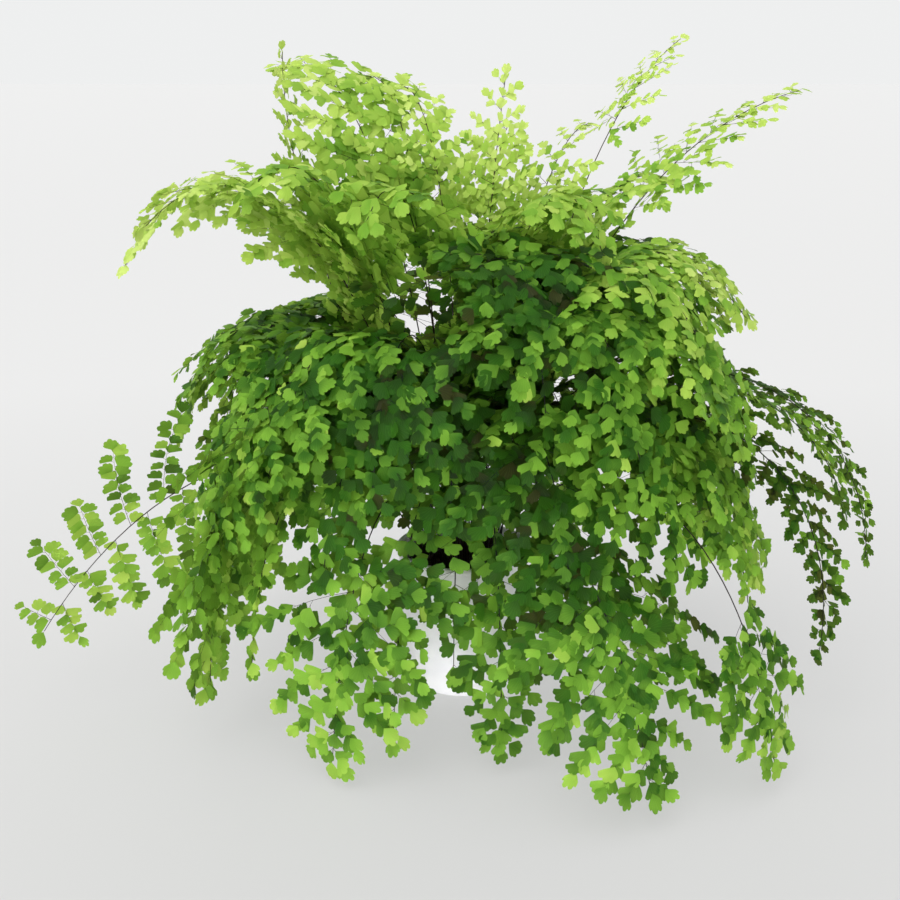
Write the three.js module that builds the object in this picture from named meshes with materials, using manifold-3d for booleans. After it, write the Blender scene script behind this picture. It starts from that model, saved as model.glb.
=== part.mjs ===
// A potted maidenhair fern, in millimetres, +Z up. The origin is the middle of the pot's base, on the surface
// that the pot stands on. Headings are in degrees: 0 is to the right (+X) and 90 is to the back (+Y).
// Each frond is one thin, arched, closed body. Its outline is drawn flat, with the leaflets cut down to the
// branches that carry them, and then laid along the frond's arch.
import * as THREE from 'three';
import { mergeVertices } from 'three/addons/utils/BufferGeometryUtils.js';
import Module from 'manifold-3d';

const wasm = await Module();
wasm.setup();

// Pot
const potHeight = 115;
const mouthRadius = 55;
const baseRadius = 44;
const wall = 2;
const floorThickness = 3;
const lipHeight = 5;
const lipStep = 1.2;
const drainHoles = 5;
const drainHoleRadius = 3.5;
const drainCircle = 29;
const potSides = 24;

// Soil
const gap = 0.35;
const soilTop = 105;
const holeDepth = 14;
const holeRadius = 2.15;
const holeSides = 4;

// Stems and leaflets. The leaflets are fewer and broader than a living plant's.
const stemDepth = 12;
const stemWidth = 1.8;
const stemThickness = 1.5;
const ribWidth = 1.4;
const bladeThickness = 0.8;
const leafletScale = 1.5;
const leafletSpread = 34;
const pinnaSpacing = 58;
const stemStep = 50;
const leafletClearance = 0.1;
const pinnaClearance = 1;
const frondClearance = 1.7;
const lowestPoint = 6;

// The fronds: name, heading, distance of the foot from the pot's axis, then [distance out, height] of the three
// points that draw the arch up, over and to its tip, the tip's swing to the side, the roll of the blade in
// degrees, the length and the half width of the leafy part, the width of a leaflet and how young it is, 0 to 1.
const fronds = [
	// tall young fronds
	['top_left_arch', 146, 8, [45, 330], [88, 506], [172, 490], 0, -10, 220, 75, 14, 0.7],
	['top_left_spire', 163, 17, [90, 260], [150, 400], [145, 500], 0, 0, 110, 25, 9, 0.85],
	['top_left_back', 126, 16, [40, 330], [75, 500], [135, 480], 0, 0, 220, 75, 13, 0.7],
	['top_left_front', 203, 10, [60, 330], [110, 480], [170, 400], 0, 0, 240, 85, 15, 0.6],
	['top_left_near', 236, 10, [40, 330], [70, 460], [120, 390], 0, 0, 210, 80, 14, 0.5],
	['top_middle', 60, 8, [15, 260], [40, 420], [45, 482], -10, 0, 130, 35, 10, 0.9],
	['top_middle_thin', 105, 8, [10, 300], [30, 470], [70, 475], 30, 0, 90, 30, 9, 0.9],
	['top_middle_back', 62, 17, [25, 300], [48, 430], [75, 445], 0, 0, 140, 50, 11, 0.85],
	['top_centre', 15, 0, [10, 290], [35, 425], [95, 395], 0, 0, 200, 75, 11, 0.85],
	['top_right_slim', 30, 17, [60, 260], [100, 450], [200, 510], 0, 0, 110, 28, 9, 0.95],
	['top_right_mid', 42, 16, [35, 280], [85, 440], [135, 445], 0, 0, 190, 70, 11, 0.85],
	['right_crown', 16, 17, [40, 300], [105, 430], [165, 405], 0, 0, 190, 62, 12, 0.75],
	['right_top_reach', 8, 8, [60, 290], [130, 440], [258, 472], 0, 10, 160, 35, 11, 0.8],
	['right_lime_a', -12, 16, [55, 330], [130, 420], [212, 312], 0, 10, 235, 80, 13, 0.6],
	['right_lime_b', 18, 24, [60, 330], [140, 420], [228, 288], 0, -10, 235, 80, 13, 0.6],
	['right_lime_c', -34, 17, [50, 330], [130, 430], [205, 290], 0, 0, 240, 80, 14, 0.5],
	// arch and mass on the left
	['upper_left_arch', 181, 18, [50, 330], [165, 500], [258, 345], 0, -20, 230, 55, 12, 0.65],
	['upper_left_inner', 193, 25, [55, 330], [150, 470], [235, 380], 0, 15, 220, 70, 13, 0.6],
	['left_mass_a', 155, 26, [45, 280], [190, 400], [228, 180], 0, 0, 250, 80, 14, 0.15],
	['left_mass_b', 178, 26, [45, 260], [182, 388], [226, 210], 0, 0, 240, 80, 14, 0.15],
	['left_mass_c', 213, 19, [50, 260], [180, 370], [220, 150], 0, 0, 240, 80, 14, 0.25],
	// low on the left
	['far_left_low', 190, 34, [70, 230], [220, 240], [335, 65], 0, 60, 190, 75, 14, 0.55],
	['left_cascade', 206, 33, [60, 250], [200, 300], [216, 40], 0, 45, 250, 70, 14, 0.35],
	['left_cascade_near', 221, 33, [60, 230], [185, 285], [205, 75], 0, 30, 210, 65, 14, 0.4],
	// arches on the right
	['right_arch_inner', -6, 25, [65, 320], [280, 280], [300, 150], 0, -20, 260, 45, 12, 0.25],
	['right_big_arch', 4, 33, [75, 340], [325, 280], [340, 95], 0, -20, 290, 42, 10, 0.15],
	['right_second_arch', -18, 33, [80, 310], [300, 270], [285, 60], 0, -50, 230, 42, 11, 0.2],
	['right_low', -41, 33, [80, 240], [240, 250], [285, 25], 0, 0, 150, 60, 14, 0.4],
	['right_low_small', -32, 34, [75, 220], [230, 220], [240, 120], 0, 0, 180, 60, 14, 0.4],
	// hanging past the pot at the front
	['front_right', -62, 33, [60, 230], [200, 200], [260, 30], 0, 0, 220, 85, 15, 0.35],
	['front_centre', -81, 33, [50, 240], [150, 260], [165, 25], 0, 0, 240, 55, 16, 0.3],
	['front_left_near', -107, 33, [45, 230], [150, 240], [175, 35], 0, 0, 220, 60, 16, 0.45],
	['front_left', -118, 33, [50, 230], [170, 240], [200, 22], 0, 0, 180, 70, 16, 0.5],
	['front_small', -94, 34, [45, 170], [110, 180], [120, 60], 0, 0, 100, 35, 11, 0.4],
	// middle layer at the front
	['mid_inner_front', -80, 8, [20, 330], [60, 450], [115, 330], 0, 0, 190, 65, 13, 0.4],
	['mid_inner_right', -42, 8, [25, 340], [80, 480], [130, 360], 0, 0, 190, 70, 13, 0.6],
	['mid_front_a', -72, 17, [30, 340], [120, 460], [170, 265], 0, 0, 240, 85, 15, 0.25],
	['mid_front_b', -112, 17, [38, 305], [128, 392], [170, 212], 0, 0, 230, 80, 15, 0.25],
	['mid_front_c', -55, 25, [42, 322], [145, 435], [208, 215], 0, 0, 240, 85, 14, 0.35],
	['mid_front_d', -137, 25, [40, 300], [130, 390], [190, 210], 0, 0, 230, 80, 15, 0.35],
	['mid_right', -30, 26, [45, 320], [150, 420], [225, 235], 0, 0, 240, 80, 13, 0.4],
	['mid_right_low', -44, 25, [45, 280], [150, 350], [215, 150], 0, 0, 220, 75, 15, 0.3],
	// lower layer at the front
	['low_front_a', -67, 25, [40, 260], [140, 330], [190, 120], 0, 0, 240, 80, 15, 0.2],
	['low_front_b', -94, 25, [40, 260], [128, 335], [152, 185], 0, 0, 220, 80, 15, 0.15],
	['low_front_c', -124, 25, [40, 260], [140, 315], [178, 150], 0, 0, 230, 75, 15, 0.25],
	['low_right', -20, 24, [50, 260], [180, 320], [235, 125], 0, 0, 240, 80, 14, 0.25],
	['low_left', -156, 25, [45, 250], [165, 310], [206, 95], 0, 0, 240, 80, 15, 0.3],
	// back
	['back_a', 38, 25, [40, 340], [140, 450], [205, 240], 0, 0, 240, 85, 14, 0.35],
	['back_b', 84, 17, [35, 330], [140, 420], [190, 215], 0, 0, 240, 85, 14, 0.3],
	['back_c', 131, 20, [40, 310], [135, 385], [195, 190], 0, 0, 240, 85, 14, 0.3],
	['back_low_a', 26, 33, [50, 260], [190, 310], [240, 100], 0, 0, 240, 80, 14, 0.25],
	['back_low_b', 60, 30, [50, 250], [190, 300], [225, 55], 0, 0, 240, 80, 14, 0.3],
	['back_low_c', 92, 32, [50, 260], [180, 320], [215, 110], 0, 0, 240, 80, 14, 0.25],
	['back_low_d', 120, 32, [50, 250], [190, 290], [225, 50], 0, 0, 240, 80, 14, 0.3],
	['back_low_e', 146, 30, [50, 260], [190, 310], [235, 100], 0, 0, 240, 80, 14, 0.25],
].map(([name, heading, foot, rise, over, tip, swing, roll, blade, halfWidth, leaflet, age]) => (
	{ name, heading, foot, rise, over, tip, swing, roll, blade, halfWidth, leaflet, age }));

// The half width of a blade, from its start (0) to its tip (1), as a share of the widest.
const bladeProfile = [[0, 0.75], [0.12, 1], [0.3, 0.95], [0.6, 0.62], [0.85, 0.3], [1, 0.12]];

// How far a pinna sinks under its own weight, in millimetres for each square millimetre of its length.
const sag = 0.0016;

const rad = THREE.MathUtils.degToRad;
const up = new THREE.Vector3(0, 0, 1);

function profileAt(share) {
	const next = Math.max(1, bladeProfile.findIndex(([x]) => x >= share));
	const [x0, y0] = bladeProfile[next - 1];
	const [x1, y1] = bladeProfile[next];
	return y0 + (y1 - y0) * (share - x0) / (x1 - x0);
}

// ---- booleans

function toSolid(geometry) {
	const bare = geometry.clone();
	bare.deleteAttribute('normal');
	bare.deleteAttribute('uv');
	const merged = mergeVertices(bare, 1e-4);
	return new wasm.Manifold(new wasm.Mesh({
		numProp: 3,
		vertProperties: Float32Array.from(merged.attributes.position.array),
		triVerts: Uint32Array.from(merged.index.array),
	}));
}

function toGeometry(solid) {
	const mesh = solid.getMesh();
	const geometry = new THREE.BufferGeometry();
	geometry.setAttribute('position', new THREE.BufferAttribute(mesh.vertProperties, 3));
	geometry.setIndex(new THREE.BufferAttribute(mesh.triVerts, 1));
	return geometry;
}

// An upright prism with a regular section, standing on height z.
function prism(x, y, z, radius, height, sides) {
	const geometry = new THREE.CylinderGeometry(radius, radius, height, sides);
	geometry.rotateX(Math.PI / 2);
	geometry.translate(x, y, z + height / 2);
	return toSolid(geometry);
}

// ---- pot and soil

// The pot's wall leans out evenly from the base to the mouth.
function outerRadius(z) {
	return baseRadius + (mouthRadius - lipStep - baseRadius) * z / potHeight;
}

function lathe(profile) {
	const geometry = new THREE.LatheGeometry(profile.map(([r, z]) => new THREE.Vector2(r, z)), potSides);
	geometry.rotateX(Math.PI / 2);
	return toSolid(geometry);
}

function makePot() {
	const underLip = potHeight - lipHeight;
	let pot = lathe([
		[0, 0],
		[baseRadius - 1, 0],
		[baseRadius, 1],
		[outerRadius(underLip), underLip],
		[mouthRadius, underLip + lipStep],
		[mouthRadius, potHeight - 1],
		[mouthRadius - 1, potHeight],
		[outerRadius(potHeight) - wall, potHeight],
		[outerRadius(floorThickness) - wall, floorThickness],
		[0, floorThickness],
	]);
	for (let i = 0; i < drainHoles; i++) {
		const turn = 2 * Math.PI * i / drainHoles;
		const x = drainCircle * Math.cos(turn);
		const y = drainCircle * Math.sin(turn);
		pot = pot.subtract(prism(x, y, -1, drainHoleRadius, floorThickness + 2, 10));
	}
	return toGeometry(pot);
}

function makeSoil() {
	const bottom = floorThickness + gap;
	let soil = lathe([
		[0, bottom],
		[outerRadius(bottom) - wall - gap, bottom],
		[outerRadius(soilTop) - wall - gap, soilTop],
		[0, soilTop],
	]);
	for (const { heading, foot } of fronds) {
		const x = foot * Math.cos(rad(heading));
		const y = foot * Math.sin(rad(heading));
		soil = soil.subtract(prism(x, y, soilTop - holeDepth, holeRadius, holeDepth + 1, holeSides));
	}
	return toGeometry(soil);
}

// ---- the arch of a frond

class Arch {
	constructor(frond) {
		const { heading, foot, rise, over, tip, swing } = frond;
		this.out = new THREE.Vector3(Math.cos(rad(heading)), Math.sin(rad(heading)), 0);
		this.across = new THREE.Vector3(-this.out.y, this.out.x, 0);
		this.foot = this.at(foot, soilTop, 0);
		this.curve = new THREE.CubicBezierCurve3(
			this.foot, this.at(...rise, 0), this.at(...over, 0.35 * swing), this.at(...tip, swing));
		this.length = this.curve.getLength();
		this.bladeStart = Math.max(this.length - frond.blade, 20);
		this.blade = this.length - this.bladeStart;
		this.roll = rad(frond.roll);
	}

	at(distance, height, sideways) {
		return this.out.clone().multiplyScalar(distance)
			.addScaledVector(this.across, sideways).setZ(height);
	}

	// The point and the blade's own directions at a distance along the rachis. Below the soil the stem is upright.
	frameAt(distance) {
		if (distance <= 0) {
			const point = this.foot.clone().setZ(soilTop + distance);
			return { point, side: this.across.clone(), normal: this.out.clone().negate() };
		}
		const share = Math.min(distance / this.length, 1);
		const along = this.curve.getTangentAt(share);
		const point = this.curve.getPointAt(share).addScaledVector(along, distance - share * this.length);
		const side = this.across.clone().addScaledVector(along, -along.dot(this.across)).normalize();
		const normal = along.clone().cross(side);
		const rolled = THREE.MathUtils.clamp((distance / this.bladeStart - 0.6) / 0.4, 0, 1) * this.roll;
		side.applyAxisAngle(along, rolled);
		normal.applyAxisAngle(along, rolled);
		return { point, side, normal };
	}

	// A flat place on the blade, a along the rachis and b across it, laid on the arch. The slope lifts a pinna
	// out of the blade, and level picks the upper (1) or the lower (-1) face, or the middle between them (0).
	lay({ a, b, slope = 0 }, level = 0) {
		const { point, side, normal } = this.frameAt(a);
		const leafy = THREE.MathUtils.clamp(a / this.bladeStart, 0, 1);
		const half = THREE.MathUtils.lerp(stemThickness, bladeThickness, leafy) / 2;
		return point.addScaledVector(side, b)
			.addScaledVector(normal, slope * Math.abs(b) + level * half)
			.addScaledVector(up, -sag * b * b);
	}
}

// ---- clearance between fronds

const ray = new THREE.Ray();
const spot = new THREE.Vector3();

function sidesOf({ a, b, c }) {
	return [new THREE.Line3(a, b), new THREE.Line3(b, c), new THREE.Line3(c, a)];
}

function pierces(line, { a, b, c }) {
	line.delta(ray.direction);
	const length = ray.direction.length();
	ray.direction.divideScalar(length);
	ray.origin.copy(line.start);
	return ray.intersectTriangle(a, b, c, false, spot) !== null && spot.distanceTo(line.start) <= length;
}

// Two faces that share a corner are neighbours in one frond, and so never too close.
function tooClose(one, other, room) {
	if (one.places.some((place) => other.places.includes(place))) return false;
	const reach = one.ball.radius + other.ball.radius + room;
	if (one.ball.center.distanceTo(other.ball.center) > reach) return false;
	for (const [p, q] of [[one.face, other.face], [other.face, one.face]]) {
		for (const corner of [p.a, p.b, p.c]) {
			if (q.closestPointToPoint(corner, spot).distanceTo(corner) < room) return true;
		}
		if (sidesOf(p).some((side) => pierces(side, q))) return true;
	}
	return sidesOf(one.face).some((p) => sidesOf(other.face).some(
		(q) => p.distanceSqToLine3(q) < room * room));
}

// One triangle of a sheet's middle surface, with a ball round it for a quick first test.
function faceOf(arch, places) {
	const [a, b, c] = places.map((place) => arch.lay(place));
	const ball = new THREE.Sphere().setFromPoints([a, b, c]);
	return { places, face: new THREE.Triangle(a, b, c), ball };
}

function hitsPot({ face }) {
	return [face.a, face.b, face.c].some((corner) => corner.z < lowestPoint
		|| (corner.z < potHeight + 5 && Math.hypot(corner.x, corner.y) < mouthRadius + 5));
}

function isClear(faces, taken, room) {
	return faces.every((one) => !hitsPot(one) && !taken.some((other) => tooClose(one, other, room)));
}

// ---- a frond drawn flat, as a sheet of triangles over places on its blade

class Sheet {
	constructor() {
		this.places = [];
		this.triangles = [];
	}

	add(place) {
		return this.places.push(place) - 1;
	}

	triangle(i, j, k, mirrored = false) {
		this.triangles.push(mirrored ? [k, j, i] : [i, j, k]);
	}

	// Takes over another sheet, which starts from some corners that this sheet already has.
	take({ places, triangles }, starts) {
		const corners = places.map((place, i) => starts[i] ?? this.add(place));
		for (const [i, j, k] of triangles) this.triangle(corners[i], corners[j], corners[k]);
	}

	// Fills the narrow strip between two edges, the right one and the left one, each listed from its foot on
	// with how far along each of its corners is. The shorter of the two next diagonals is always the one drawn.
	zip(right, left, mirrored = false) {
		let i = 0;
		let j = 0;
		while (i < right.length - 1 || j < left.length - 1) {
			const toRight = i < right.length - 1 ? Math.abs(right[i + 1].x - left[j].x) : Infinity;
			const toLeft = j < left.length - 1 ? Math.abs(left[j + 1].x - right[i].x) : Infinity;
			if (toRight <= toLeft) {
				this.triangle(right[i].corner, right[i + 1].corner, left[j].corner, mirrored);
				i++;
			} else {
				this.triangle(right[i].corner, left[j + 1].corner, left[j].corner, mirrored);
				j++;
			}
		}
	}

	// The sheet's triangles on the arch, without those that are wholly in the soil.
	facesOn(arch) {
		return this.triangles.map((triangle) => triangle.map((corner) => this.places[corner]))
			.filter((places) => places.some(({ a }) => a > 1))
			.map((places) => faceOf(arch, places));
	}
}

// A pinna's leaflets, drawn from its foot on the rachis: x runs along it and y is positive towards the frond's
// tip. Each is a fan on a neck, given by its corners in order away from the foot, and the last one ends the pinna.
function pinnaLeaflets(length, leaf) {
	const half = ribWidth / 2;
	const end = Math.max(length - 0.55 * leaf, 2.5);
	const fan = (x, turn) => {
		const side = Math.sign(turn);
		const corner = (angle) => [x + leaf * Math.cos(rad(angle)), leaf * Math.sin(rad(angle))];
		return {
			x,
			side,
			points: [[x - half, side * half], corner(turn + side * leafletSpread),
				corner(turn - side * leafletSpread), [x + half, side * half]],
		};
	};
	const leaflets = end > 2.1 * leaf ? [fan(0.42 * end, -64), fan(0.66 * end, 62)] : [];
	const broad = leaf * Math.sin(rad(leafletSpread));
	const tip = end + leaf * Math.cos(rad(leafletSpread));
	const necked = leaflets.length === 0 && end > 1.2 * leaf;
	leaflets.push({ x: end, side: 0, necked, points: [[end, -half], [tip, -broad], [tip, broad], [end, half]] });
	return leaflets;
}

function pinnae(frond, arch) {
	const count = 2 * Math.max(2, Math.round(arch.blade / pinnaSpacing));
	return Array.from({ length: count }, (_, k) => {
		const share = (k + 0.35) / count;
		return {
			foot: arch.bladeStart + share * arch.blade,
			side: k % 2 ? 1 : -1,
			turn: rad(62 - 22 * share),
			leaflets: pinnaLeaflets(frond.halfWidth * profileAt(share), frond.leaflet * leafletScale),
		};
	});
}

// From a pinna's own x and y to the blade's a and b.
function onBlade(pinna, [x, y], slope) {
	const { foot, side, turn } = pinna;
	return {
		a: foot + x * Math.cos(turn) + y * Math.sin(turn),
		b: side * (x * Math.sin(turn) - y * Math.cos(turn)),
		slope,
	};
}

// The slopes that a pinna tries in turn, until all its leaflets are clear of the fronds placed before it.
const slopes = [0, 0.15, -0.15, 0.3, -0.3, 0.45, -0.45];

// Draws a pinna's leaflets and the branch under them, from the two places of its foot on the rachis.
function drawPinna(pinna, foot, leaflets, slope) {
	const sheet = new Sheet();
	const mirrored = pinna.side > 0;
	const edges = {
		[-1]: [{ x: 0, corner: sheet.add(foot[0]) }],
		[1]: [{ x: 0, corner: sheet.add(foot[1]) }],
	};
	for (const { side, necked, points } of leaflets) {
		const corners = points.map((point, i) => {
			const isOwnNeck = side === 0 && !necked && (i === 0 || i === 3);
			return isOwnNeck ? edges[i ? 1 : -1].at(-1).corner : sheet.add(onBlade(pinna, point, slope));
		});
		if (side !== 0) {
			edges[side].push({ x: points[0][0], corner: corners[0] }, { x: points[3][0], corner: corners[3] });
		} else if (necked) {
			edges[-1].push({ x: points[0][0], corner: corners[0] });
			edges[1].push({ x: points[3][0], corner: corners[3] });
		}
		// The last leaflet is halved from its neck's farther corner, or one half would lie face down.
		const turned = side === 0 && edges[1].at(-1).x > edges[-1].at(-1).x;
		const [p, q, r, s] = turned ? [corners[3], ...corners] : corners;
		const flipped = side > 0 ? !mirrored : mirrored;
		sheet.triangle(p, q, r, flipped);
		sheet.triangle(p, r, s, flipped);
	}
	sheet.zip(edges[-1], edges[1], mirrored);
	return sheet;
}

// Every way to leave some of a pinna's leaflets off, with the fullest ones first.
function choices(leaflets) {
	const picks = [];
	for (let bits = 1; bits < 2 ** leaflets.length; bits++) {
		picks.push(leaflets.filter((_, i) => bits & 2 ** i));
	}
	return picks.sort((one, other) => other.length - one.length);
}

// Adds a pinna to its frond with as many leaflets, and as little slope, as keep it clear of all the rest.
function addPinna({ arch, sheet, rachisFaces, leafFaces }, pinna, others) {
	const own = [...rachisFaces, ...leafFaces];
	const foot = pinna.corners.map((corner) => sheet.places[corner]);
	for (const leaflets of choices(pinna.leaflets)) {
		for (const slope of slopes) {
			const trial = drawPinna(pinna, foot, leaflets, slope);
			const faces = trial.facesOn(arch);
			if (!isClear(faces, faces, leafletClearance)) continue;
			if (!isClear(faces, own, pinnaClearance)) continue;
			if (!isClear(faces, others, frondClearance)) continue;
			leafFaces.push(...faces);
			sheet.take(trial, pinna.corners);
			return;
		}
	}
}

// The stem and the rachis, as a strip with corners on its edges at each pinna's foot and across from it.
function drawRachis(arch, branches) {
	const sheet = new Sheet();
	const edges = { [-1]: [], [1]: [] };
	const put = (a, side, width) => {
		const corner = sheet.add({ a, b: side * width / 2 });
		edges[side].push({ x: a, corner });
		return corner;
	};
	for (const side of [-1, 1]) {
		put(-stemDepth, side, stemWidth);
		put(1, side, stemWidth);
		const steps = Math.ceil(arch.bladeStart / stemStep);
		for (let i = 1; i <= steps; i++) put(1 + (arch.bladeStart - 6) * i / steps, side, stemWidth);
	}
	for (const pinna of branches) {
		const half = ribWidth / 2 / Math.sin(pinna.turn);
		pinna.corners = [put(pinna.foot - half, pinna.side, ribWidth), put(pinna.foot + half, pinna.side, ribWidth)];
		put(pinna.foot, -pinna.side, ribWidth);
	}
	return { sheet, edges };
}

function endRachis(arch, { sheet, edges }, leaf) {
	const broad = leaf * Math.sin(rad(leafletSpread));
	const right = sheet.add({ a: arch.length + 0.4 * leaf, b: -broad });
	const tip = sheet.add({ a: arch.length + 0.6 * leaf, b: 0 });
	const left = sheet.add({ a: arch.length + 0.4 * leaf, b: broad });
	const footRight = edges[-1].at(-1).corner;
	const footLeft = edges[1].at(-1).corner;
	sheet.triangle(footRight, right, tip);
	sheet.triangle(footRight, tip, footLeft);
	sheet.triangle(footLeft, tip, left);
	sheet.zip(edges[-1], edges[1]);
}

// ---- a frond's body

// The upper and the lower face share the sheet's triangles, and a band joins them round its open edge.
function thicken(arch, { places, triangles }) {
	const count = places.length;
	const inside = new Set(triangles.flatMap(([i, j, k]) => [`${i} ${j}`, `${j} ${k}`, `${k} ${i}`]));
	const index = [];
	for (const [i, j, k] of triangles) {
		index.push(i, j, k, count + i, count + k, count + j);
		for (const [from, to] of [[i, j], [j, k], [k, i]]) {
			if (!inside.has(`${to} ${from}`)) {
				index.push(from, count + from, count + to, from, count + to, to);
			}
		}
	}
	const upper = places.map((place) => arch.lay(place, 1));
	const lower = places.map((place) => arch.lay(place, -1));
	const geometry = new THREE.BufferGeometry().setFromPoints([...upper, ...lower]);
	geometry.setIndex(index);
	return geometry;
}

function makeFronds() {
	const plants = fronds.map((frond) => {
		const arch = new Arch(frond);
		const branches = pinnae(frond, arch);
		const rachis = drawRachis(arch, branches);
		endRachis(arch, rachis, frond.leaflet * leafletScale);
		const { sheet } = rachis;
		return { arch, branches, sheet, rachisFaces: sheet.facesOn(arch), leafFaces: [] };
	});
	return plants.map((plant) => {
		const others = plants.filter((other) => other !== plant)
			.flatMap(({ rachisFaces, leafFaces }) => [...rachisFaces, ...leafFaces]);
		for (const pinna of plant.branches) addPinna(plant, pinna, others);
		return thicken(plant.arch, plant.sheet);
	});
}

// ---- the plant in its pot

function material(colour, roughness) {
	return new THREE.MeshStandardMaterial({ color: colour, roughness, metalness: 0 });
}

function addMesh(group, name, geometry, look) {
	const mesh = new THREE.Mesh(geometry, look);
	mesh.name = name;
	group.add(mesh);
}

const group = new THREE.Group();
addMesh(group, 'pot', makePot(), material(0xe9e7ee, 0.35));
addMesh(group, 'soil', makeSoil(), material(0x2b211b, 0.95));

const oldGreen = new THREE.Color(0x2f6a22);
const youngGreen = new THREE.Color(0x9cc63e);
makeFronds().forEach((geometry, i) => {
	const green = oldGreen.clone().lerp(youngGreen, fronds[i].age);
	addMesh(group, `frond_${fronds[i].name}`, geometry, material(green, 0.55));
});

export default group;
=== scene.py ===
import math

import bpy
import numpy as np
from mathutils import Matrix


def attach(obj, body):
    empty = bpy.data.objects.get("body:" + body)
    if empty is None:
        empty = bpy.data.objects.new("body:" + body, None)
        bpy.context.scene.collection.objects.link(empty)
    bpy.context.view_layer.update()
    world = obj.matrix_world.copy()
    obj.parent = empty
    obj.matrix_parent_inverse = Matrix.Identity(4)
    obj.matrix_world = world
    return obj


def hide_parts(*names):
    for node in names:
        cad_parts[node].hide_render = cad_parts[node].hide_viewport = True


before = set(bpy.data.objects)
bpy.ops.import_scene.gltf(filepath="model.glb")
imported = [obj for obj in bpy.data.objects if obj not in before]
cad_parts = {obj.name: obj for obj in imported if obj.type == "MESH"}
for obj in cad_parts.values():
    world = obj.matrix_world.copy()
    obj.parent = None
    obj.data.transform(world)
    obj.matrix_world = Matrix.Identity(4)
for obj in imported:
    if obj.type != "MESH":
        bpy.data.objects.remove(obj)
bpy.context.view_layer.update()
print("frame loaded:", len(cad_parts), "nodes")

mm = 0.001


# A hex color in sRGB as the linear values that nodes take.
def linearColor(hexColor):
    channels = [int(hexColor[i:i + 2], 16) / 255 for i in (1, 3, 5)]
    return [c / 12.92 if c <= 0.04045 else ((c + 0.055) / 1.055) ** 2.4 for c in channels] + [1.0]


# Adds one node. Settings are its own properties or its sockets' values, links feed its sockets and stops are
# the places and hex colors of a color ramp.
def addNode(tree, kind, settings=None, links=None, stops=None):
    node = tree.nodes.new("ShaderNode" + kind)
    for name, value in (settings or {}).items():
        if isinstance(name, str) and hasattr(node, name):
            setattr(node, name, value)
        else:
            node.inputs[name].default_value = value
    for name, source in (links or {}).items():
        tree.links.new(source, node.inputs[name])
    for i, (place, hexColor) in enumerate(stops or []):
        ramp = node.color_ramp.elements
        stop = ramp[i] if i < 2 else ramp.new(place)
        stop.position = place
        stop.color = linearColor(hexColor)
    return node


def newMaterial(name):
    material = bpy.data.materials.new(name)
    material.use_nodes = True
    material.node_tree.nodes.clear()
    return material, material.node_tree


def finishMaterial(tree, shader):
    addNode(tree, "OutputMaterial", links={"Surface": shader})


leafLook = {
    # the color at each tone, from a leaflet that dries to one that opens; the two ends come first. The
    # darkest tones also serve as painted shade for leaf masses inside the crown
    "colors": [(0.0, "#2b2b12"), (1.0, "#c8dd78"), (0.05, "#0e2706"), (0.28, "#285a0f"), (0.52, "#76a634"),
               (0.8, "#abca54")],
    "patchSize": 32 * mm, "patchTone": 0.1,     # drifts of lighter and darker green across the crown
    "roughness": 0.5, "gloss": 0.16,            # thin leaf skin with a faint wax
    "letThrough": 0.35,                         # share of the light that goes on through a leaflet
    "throughTint": "#bedc5a", "throughTinting": 0.35,
    "veins": 17,            # veins across a leaflet; the real ones are three times as many, too fine to show
    "veinHeight": 0.12 * mm, "veinColor": "#26380c",
}


# Living maidenhair leaflet: a thin soft blade that lets light through, paler where it is young and browner
# where it dries, with fine veins that fan out from its stalk.
def makeLeafMaterial(look):
    material, tree = newMaterial("livingFernLeaflet")
    tone = addNode(tree, "Attribute", {"attribute_name": "tone"}).outputs["Fac"]
    place = addNode(tree, "TexCoord").outputs["Object"]
    patches = addNode(tree, "TexNoise", {"Scale": 1 / look["patchSize"], "Detail": 2.0}, {"Vector": place})
    drift = addNode(tree, "MapRange", {"From Min": 0.3, "From Max": 0.7, "To Min": -look["patchTone"],
                                       "To Max": look["patchTone"]}, {"Value": patches.outputs["Fac"]})
    shifted = addNode(tree, "Math", {"operation": "ADD", "use_clamp": True},
                      {0: tone, 1: drift.outputs["Result"]})
    green = addNode(tree, "ValToRGB", None, {"Fac": shifted.outputs[0]}, look["colors"])
    fan = addNode(tree, "SeparateXYZ", None,
                  {"Vector": addNode(tree, "UVMap", {"uv_map": "fan"}).outputs["UV"]})
    stripes = addNode(tree, "Math", {"operation": "MULTIPLY", 1: look["veins"] * math.pi},
                      {0: fan.outputs["X"]})
    ridges = addNode(tree, "Math", {"operation": "SINE"}, {0: stripes.outputs[0]})
    veins = addNode(tree, "MapRange", {"From Min": 0.55, "From Max": 1.0}, {"Value": ridges.outputs[0]})
    veined = addNode(tree, "Mix", {"data_type": "RGBA", "blend_type": "SCREEN",
                                   7: linearColor(look["veinColor"])},
                     {0: veins.outputs["Result"], 6: green.outputs["Color"]})
    bump = addNode(tree, "Bump", {"Strength": 0.6, "Distance": look["veinHeight"]},
                   {"Height": veins.outputs["Result"]})
    skin = addNode(tree, "BsdfPrincipled", {"Roughness": look["roughness"], "IOR": 1.42,
                                            "Specular IOR Level": look["gloss"]},
                   {"Base Color": veined.outputs[2], "Normal": bump.outputs["Normal"]})
    tinted = addNode(tree, "Mix", {"data_type": "RGBA", 0: look["throughTinting"],
                                   7: linearColor(look["throughTint"])}, {6: veined.outputs[2]})
    through = addNode(tree, "BsdfTranslucent", None, {"Color": tinted.outputs[2]})
    blade = addNode(tree, "MixShader", {"Fac": look["letThrough"]},
                    {1: skin.outputs["BSDF"], 2: through.outputs["BSDF"]})
    finishMaterial(tree, blade.outputs["Shader"])
    return material


stemLook = {
    "colors": [(0.1, "#0b0706"), (0.75, "#33170e")],    # black, and brown where the stem is young
    "roughness": 0.38, "gloss": 0.25,                   # hard polished skin of a fern stem
    "grainSize": 3 * mm, "grainHeight": 0.1 * mm,
}


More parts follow.
